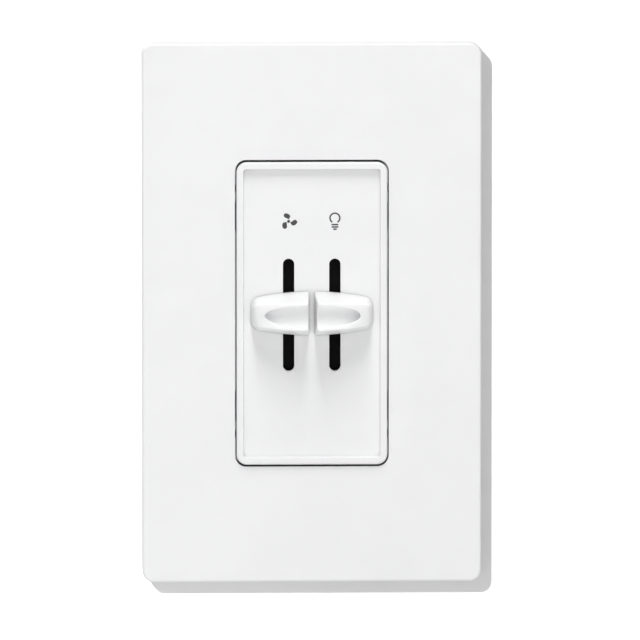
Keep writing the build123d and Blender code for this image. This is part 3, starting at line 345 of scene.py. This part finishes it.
MATERIALS = {
    # The plate and the bezel get strong painted shade in narrow gaps, which darkens the line round the
    # insert.
    "wallplate": plastic("wallplate_satin_white", WHITE, 0.42, grain=0.35, grain_depth=0.0025, painted_gap_shade=0.92,
                         shine=0.35),
    "bezel": plastic("bezel_semi_gloss_white", WHITE, 0.34, grain=0.4, grain_depth=0.0015, painted_gap_shade=0.92,
                     wear=0.025),
    "knob": plastic("knob_soft_white", shade(WHITE, 1.03), 0.42, grain=0.5, grain_depth=0.001, milky=0.9,
                    wear=0.03, shine=0.2),
    "adapter": plastic("adapter_matt_white", (0.74, 0.745, 0.75), 0.55, grain=0.25, grain_depth=0.006),
    "housing": plastic("housing_dark_grey", DARK_GREY, 0.50, grain=0.22, grain_depth=0.012, mottle=0.15),
    "shutter": plastic("shutter_black", (0.003, 0.003, 0.003), 0.75, grain_depth=0.004, shine=0.1),
    "acetal": plastic("acetal_natural", (0.80, 0.79, 0.73), 0.35, grain_depth=0.002),
    "phenolic": fibre("phenolic_brown", (0.26, 0.13, 0.06), 0.45),
    "fibre": fibre("red_fibre", (0.30, 0.09, 0.06), 0.80),
    "sheet": fibre("grey_fish_paper", (0.30, 0.31, 0.32), 0.75),
    "yoke": metal("yoke_aluminium", (0.80, 0.80, 0.81), 0.36, brush=(1, 1, 0.03)),
    "steel": metal("zinc_plated_steel", STEEL, 0.30),
    "channel": metal("rolled_steel_channel", STEEL, 0.34, brush=(1, 1, 0.05)),
    "brass": metal("terminal_brass", BRASS, 0.28, tarnish=0.75),
    "spring": metal("spring_bronze", (0.86, 0.60, 0.34), 0.25, brush=(1, 1, 0.06)),
    "tin": metal("tinned_copper", (0.78, 0.77, 0.75), 0.32),
    "copper": metal("enamelled_copper", (0.70, 0.28, 0.10), 0.22, tarnish=0.7),
    "ground": painted("ground_screw_green", (0.03, 0.22, 0.07), STEEL, 0.35),
    "board": circuit_laminate("board_green", (0.02, 0.13, 0.05)),
    "carbon": plastic("carbon_film", (0.015, 0.015, 0.016), 0.55, grain=0.1, grain_depth=0.003),
    "epoxy": plastic("moulding_epoxy_black", (0.022, 0.022, 0.024), 0.48, grain=0.12, grain_depth=0.006),
    "pad": plastic("thermal_pad_grey", (0.46, 0.48, 0.46), 0.80, grain=0.15, grain_depth=0.01),
    "core": plastic("ring_core_yellow", (0.72, 0.60, 0.08), 0.50, grain=0.4, grain_depth=0.02),
    "film_yellow": plastic("film_capacitor_yellow", (0.78, 0.60, 0.06), 0.34, mottle=0.06),
    "film_grey": plastic("film_capacitor_grey", (0.30, 0.31, 0.34), 0.40, mottle=0.06),
    "film_red": plastic("film_capacitor_red", (0.45, 0.05, 0.03), 0.22, grain=0.8, grain_depth=0.02),
    "resistor": plastic("resistor_beige", (0.66, 0.48, 0.28), 0.42, mottle=0.08),
    "diac": plastic("diac_blue", (0.05, 0.14, 0.42), 0.20, mottle=0.08),
    "trimmer": plastic("trimmer_blue", (0.04, 0.13, 0.46), 0.45, mottle=0.06),
    "ink": ink("label_ink_grey", (0.050, 0.050, 0.054)),
}

NODE_LOOKS = {
    "wallplate_cover": "wallplate",
    "wallplate_adapter": "adapter",
    "adapter_screws": "steel",
    "yoke": "yoke",
    "mounting_screws": "steel",
    "screw_retainers": "fibre",
    "ground_clamp": "brass",
    "ground_screw": "ground",
    "front_bezel": "bezel",
    "insulating_sheet": "sheet",
    "back_housing": "housing",
    "housing_screws": "steel",
    "terminal_straps": "brass",
    "terminal_clamps": "steel",
    "terminal_screws": "brass",
    "circuit_board": "board",
    "choke_core": "core",
    "choke_winding": "copper",
    "noise_capacitor": "film_yellow",
    "fan_capacitors": "film_grey",
    "firing_capacitor": "film_red",
    "trim_pot": "trimmer",
    "trim_pot_rotor": "acetal",
    "resistors": "resistor",
    "diac": "diac",
    "component_leads": "tin",
    "triac_insulator": "pad",
    "triac_tab": "tin",
    "light_triac": "epoxy",
    "triac_screw": "steel",
    "light_resistor_track": "carbon",
    "fan_speed_contacts": "brass",
    "light_switch_contact": "brass",
    "light_switch_leaf": "spring",
}
for slider in ("fan", "light"):
    NODE_LOOKS[f"{slider}_unit_frame"] = "channel"
    NODE_LOOKS[f"{slider}_unit_base"] = "phenolic"
    NODE_LOOKS[f"{slider}_knob"] = "knob"
    NODE_LOOKS[f"{slider}_shutter"] = "shutter"
    NODE_LOOKS[f"{slider}_carriage"] = "acetal"
    NODE_LOOKS[f"{slider}_wiper"] = "spring"


def dress_nodes():
    """Give every CAD node its finished material."""
    for node, look in NODE_LOOKS.items():
        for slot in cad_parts[node].material_slots:
            slot.material = MATERIALS[look]


# ======== meshes

def new_object(name, mesh, look):
    """An object for a mesh, in the scene, with one of the finished materials."""
    mesh.materials.append(MATERIALS[look])
    piece = bpy.data.objects.new(name, mesh)
    bpy.context.scene.collection.objects.link(piece)
    return piece


def mesh_of(form, name):
    """The finished mesh of a form. The form is used up."""
    mesh = bpy.data.meshes.new(name)
    form.to_mesh(mesh)
    form.free()
    return mesh


def flat_piece(name, outlines, back_y, thickness, look):
    """Closed flat shapes in the front view, each an outline of (x, z) points, given a thickness."""
    form = bmesh.new()
    for outline in outlines:
        back = [form.verts.new((x, back_y, z)) for x, z in outline]
        front = [form.verts.new((x, back_y - thickness, z)) for x, z in outline]
        form.faces.new(back)
        form.faces.new(front[::-1])
        for i, corner in enumerate(back):
            j = (i + 1) % len(back)
            form.faces.new((corner, front[i], front[j], back[j]))
    bmesh.ops.recalc_face_normals(form, faces=form.faces)
    return new_object(name, mesh_of(form, name), look)


def arc(centre, radius, start, end, steps=24):
    """Points on an arc, with angles in degrees from +X towards +Z."""
    turn = [math.radians(start + (end - start) * i / steps) for i in range(steps + 1)]
    return [(centre[0] + radius * math.cos(a), centre[1] + radius * math.sin(a)) for a in turn]


def ring_outline(centre, inner, outer, start, end):
    """A curved band between two radii."""
    return arc(centre, outer, start, end) + arc(centre, inner, end, start)


def bar_outline(centre, width, height):
    """A bar with round ends."""
    x, z = centre
    end = height / 2
    reach = width / 2 - end
    right_end = arc((x + reach, z), end, -90, 90, BAR_END_STEPS)
    left_end = arc((x - reach, z), end, 90, 270, BAR_END_STEPS)
    return right_end + left_end


def blade_outline(centre, size, angle):
    """One blade of the fan sign: a leaf that leans round the hub, drawn out along one edge and back."""
    points = []
    for edge in (1, -1):
        for i in range(BLADE_STEPS):
            t = i / BLADE_STEPS if edge > 0 else 1 - i / BLADE_STEPS
            reach = size * (BLADE_ROOT + (1 - BLADE_ROOT) * t)
            half_width = BLADE_HALF_WIDTH * math.sin(math.pi * t) ** BLADE_FULLNESS
            lean = math.radians(angle + BLADE_TWIST * t + edge * half_width)
            points.append((centre[0] + reach * math.cos(lean), centre[1] + reach * math.sin(lean)))
    return points


def fan_sign(x, z):
    """Sign for the fan slider: blades round a hub, the first one upright."""
    size = LABEL_HEIGHT / 2
    blades = [blade_outline((x, z), size, 90 + 360 / BLADES * i) for i in range(BLADES)]
    hub = arc((x, z), size * HUB_RADIUS, 0, 360 - 360 / HUB_SIDES, HUB_SIDES - 1)
    return blades + [hub]


def bulb_sign(x, z):
    """Sign for the light slider: a lamp bulb drawn as a line, with bars for its cap."""
    size = LABEL_HEIGHT / 2
    radius = size * BULB_RADIUS
    line = size * BULB_LINE
    glass = ring_outline((x, z + size * BULB_LIFT), radius - line, radius, BULB_START, BULB_END)
    bars = [bar_outline((x, z - size * drop), size * width, line) for drop, width in CAP_BARS]
    return [glass] + bars


def screw_heads(form):
    """Add a copy of the mounting screws' heads, cut off where they sit on the yoke."""
    form.from_mesh(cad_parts["mounting_screws"].data)
    form.transform(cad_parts["mounting_screws"].matrix_world)
    everything = form.verts[:] + form.edges[:] + form.faces[:]
    bmesh.ops.bisect_plane(form, geom=everything, plane_co=(0, SCREW_SEAT_Y, 0), plane_no=(0, 1, 0),
                           clear_outer=True)


def thread_radius(y, turn):
    """Radius of a mounting screw at this depth and at this part of a turn, from 0 to 1.

    The thread is a triangular ridge with its crest and its root cut flat. It fades at the screw's end.
    """
    if y < THREAD_START_Y:
        return SCREW_NECK_RADIUS
    phase = ((y - THREAD_START_Y) / THREAD_PITCH - turn) % 1
    height = THREAD_FLANK_SLOPE * abs(2 * phase - 1) - THREAD_ROOT_FLAT
    height = min(1.0, max(0.0, height))
    lead_in = THREAD_LEAD_IN_SLOPE * max(0.0, THREAD_LEAD_IN - (THREAD_END_Y - y))
    return THREAD_RADIUS - max(lead_in, THREAD_DEPTH * (1 - height))


def threaded_shank(form, z):
    """Add one mounting screw's neck and threaded shank, closed at both ends."""
    length = THREAD_END_Y - SCREW_SEAT_Y
    count = round(length / THREAD_PITCH * THREAD_STEPS)
    rings = []
    for i in range(count + 1):
        y = SCREW_SEAT_Y + length * i / count
        ring = []
        for j in range(THREAD_SIDES):
            turn = j / THREAD_SIDES
            radius = thread_radius(y, turn)
            angle = 2 * math.pi * turn
            ring.append(form.verts.new((radius * math.cos(angle), y, z + radius * math.sin(angle))))
        rings.append(ring)
    form.faces.new(rings[0])
    form.faces.new(rings[-1][::-1])
    for near, far in zip(rings, rings[1:]):
        for j in range(THREAD_SIDES):
            k = (j + 1) % THREAD_SIDES
            form.faces.new((near[j], far[j], far[k], near[k]))


def threaded_mounting_screws():
    """The two screws for the wall box, with real threads in place of the CAD model's plain shanks."""
    form = bmesh.new()
    screw_heads(form)
    middle = (SCREWS_HIGH[2] + SCREWS_LOW[2]) / 2
    reach = (SCREWS_HIGH[2] - SCREWS_LOW[2]) / 2 - SCREW_HEAD_RADIUS
    for side in (-1, 1):
        threaded_shank(form, middle + side * reach)
    bmesh.ops.recalc_face_normals(form, faces=form.faces)
    mesh = mesh_of(form, "threaded_mounting_screws")
    mesh.shade_smooth()
    mesh.set_sharp_from_angle(angle=SHARP_ANGLE)
    screws = new_object("threaded_mounting_screws", mesh, "steel")
    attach(screws, "device")
    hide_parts("mounting_screws")


def label_signs():
    """Printed signs above the two slots, on the recessed panel."""
    panel_y = BEZEL_LOW[1] + RECESS_DEPTH
    signs = (("fan_sign", fan_sign(-SLIDER_X, LABEL_Z)), ("light_sign", bulb_sign(SLIDER_X, LABEL_Z)))
    for name, outlines in signs:
        piece = flat_piece(name, outlines, panel_y, INK_THICKNESS, "ink")
        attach(piece, "device")


# ======== camera, lights and stage

def in_front(elevation, distance, azimuth=0.0):
    """A place in front of the plate, this far away, this high above the horizon and this far right."""
    level = math.cos(elevation)
    return Vector((level * math.sin(azimuth), -level * math.cos(azimuth), math.sin(elevation))) * distance


def aim(thing, target):
    """Turn a camera or light towards a point."""
    direction = Vector(target) - thing.location
    thing.rotation_euler = direction.to_track_quat("-Z", "Y").to_euler()


def add_camera():
    """Camera at the viewing angle, with the plate a little left of and above the frame's middle."""
    data = bpy.data.cameras.new("camera")
    data.sensor_width = SENSOR_WIDTH
    data.lens = SENSOR_WIDTH * CAMERA_DISTANCE / FRAME_WIDTH
    data.clip_end = CAMERA_CLIP_END
    camera = bpy.data.objects.new("camera", data)
    bpy.context.scene.collection.objects.link(camera)
    target = Vector((AIM_RIGHT, PLATE_LOW[1], -AIM_DOWN))
    camera.location = target + in_front(CAMERA_ELEVATION, CAMERA_DISTANCE, CAMERA_AZIMUTH)
    aim(camera, target)
    bpy.context.scene.camera = camera


def lit_group(name, things):
    """A collection that a light can be limited to."""
    group = bpy.data.collections.new(name)
    for thing in things:
        group.objects.link(thing)
    return group


def add_light(name, kind, power, location, target, group, **settings):
    """One studio light, limited to the things in its group."""
    data = bpy.data.lights.new(name, kind)
    data.energy = power
    for setting, value in settings.items():
        setattr(data, setting, value)
    light = bpy.data.objects.new(name, data)
    bpy.context.scene.collection.objects.link(light)
    light.location = location
    light.visible_camera = False
    aim(light, target)
    light.light_linking.receiver_collection = group


def add_lights(wall):
    """Big soft light above the front, one near the camera, one behind, and two for the wall only.

    The smaller wall light stands high on the left, so the plate's shadow falls below it and to its right.
    """
    others = [thing for thing in bpy.data.objects if thing.type == "MESH" and thing is not wall]
    not_wall = lit_group("lit_by_studio", others)
    only_wall = lit_group("lit_by_wall_lamp", [wall])
    centre = Vector((0, 0, 0))
    add_light("key", "AREA", KEY_POWER, in_front(KEY_ELEVATION, KEY_DISTANCE), centre, not_wall,
              shape="RECTANGLE", size=KEY_WIDTH, size_y=KEY_HEIGHT)
    add_light("front", "AREA", FRONT_POWER, in_front(FRONT_ELEVATION, FRONT_DISTANCE), centre, not_wall,
              size=FRONT_SIZE)
    add_light("rear", "AREA", REAR_POWER, REAR_PLACE, centre, not_wall, size=REAR_SIZE)
    add_light("wall_lamp", "POINT", WALL_LAMP_POWER, WALL_LAMP_PLACE, centre, only_wall,
              shadow_soft_size=WALL_LAMP_RADIUS)
    add_light("wall_fill", "AREA", WALL_FILL_POWER, in_front(0, WALL_FILL_DISTANCE), centre, only_wall,
              size=WALL_FILL_SIZE)


def add_world():
    """Even pale surroundings, a little brighter to the left and right, and white to the camera."""
    world = bpy.data.worlds.new("studio")
    world.use_nodes = True
    bpy.context.scene.world = world
    tree = world.node_tree
    tree.nodes.clear()
    direction = tree.nodes.new("ShaderNodeTexCoord")
    split = tree.nodes.new("ShaderNodeSeparateXYZ")
    sideways = tree.nodes.new("ShaderNodeMath")
    sideways.operation = "ABSOLUTE"
    strength = tree.nodes.new("ShaderNodeMapRange")
    strength.inputs["To Min"].default_value = AMBIENT
    strength.inputs["To Max"].default_value = SIDE_AMBIENT
    room = tree.nodes.new("ShaderNodeBackground")
    backdrop = tree.nodes.new("ShaderNodeBackground")
    seen = tree.nodes.new("ShaderNodeLightPath")
    chosen = tree.nodes.new("ShaderNodeMixShader")
    output = tree.nodes.new("ShaderNodeOutputWorld")
    for node in (room, backdrop):
        node.inputs["Color"].default_value = (1, 1, 1, 1)
    links = tree.links
    links.new(direction.outputs["Generated"], split.inputs["Vector"])
    links.new(split.outputs["X"], sideways.inputs[0])
    links.new(sideways.outputs["Value"], strength.inputs["Value"])
    links.new(strength.outputs["Result"], room.inputs["Strength"])
    links.new(seen.outputs["Is Camera Ray"], chosen.inputs["Fac"])
    links.new(room.outputs["Background"], chosen.inputs[1])
    links.new(backdrop.outputs["Background"], chosen.inputs[2])
    links.new(chosen.outputs["Shader"], output.inputs["Surface"])


def stage_plane(name, material, matrix):
    """A large flat square, facing +Z before it is placed."""
    half = STAGE_SIZE / 2
    form = bmesh.new()
    corners = [form.verts.new((x * half, y * half, 0)) for x, y in ((-1, -1), (1, -1), (1, 1), (-1, 1))]
    form.faces.new(corners)
    mesh = mesh_of(form, name)
    mesh.transform(matrix)
    mesh.materials.append(material)
    plane = bpy.data.objects.new(name, mesh)
    bpy.context.scene.collection.objects.link(plane)
    return plane


def studio_paint(name, tones, roughness, **constants):
    """Plain pale paint with a faint unevenness between two tones and two roughnesses."""
    look = Look(name, **constants)
    cloud = look.noise(size=60.0, detail=3.0)
    darker, lighter = ((tone, tone, tone) for tone in tones)
    look.done(look.mix(look.remap(cloud, 0, 1), darker, lighter), look.remap(cloud, *roughness))
    return look


def wall_material():
    """White wall seen only from the front, so that it never hides the back of the object."""
    look = studio_paint("studio_wall", WALL_TONES, WALL_ROUGHNESS, Specular_IOR_Level=0.0)
    clear = look.add("ShaderNodeBsdfTransparent")
    side = look.add("ShaderNodeNewGeometry").outputs["Backfacing"]
    chosen = look.add("ShaderNodeMixShader")
    look.link(side, chosen.inputs["Fac"])
    look.link(look.shader.outputs["BSDF"], chosen.inputs[1])
    look.link(clear.outputs["BSDF"], chosen.inputs[2])
    look.link(chosen.outputs["Shader"], look.output.inputs["Surface"])
    return look.material


def add_stage():
    """Floor under the plate, and a wall that the plate lies against."""
    floor_paint = studio_paint("studio_floor", FLOOR_TONES, FLOOR_ROUGHNESS).material
    stage_plane("floor", floor_paint, Matrix.Translation((0, 0, PLATE_LOW[2] - FLOOR_DROP)))
    wall_place = Matrix.Translation((0, PLATE_HIGH[1] + WALL_GAP, 0))
    upright = wall_place @ Matrix.Rotation(math.radians(90), 4, "X")
    wall = stage_plane("wall", wall_material(), upright)
    wall.visible_diffuse = False
    wall.visible_glossy = False
    wall.visible_shadow = False
    return wall


dress_nodes()
label_signs()
threaded_mounting_screws()
wall = add_stage()
add_world()
add_camera()
add_lights(wall)
bpy.context.scene.view_settings.view_transform = "Standard"
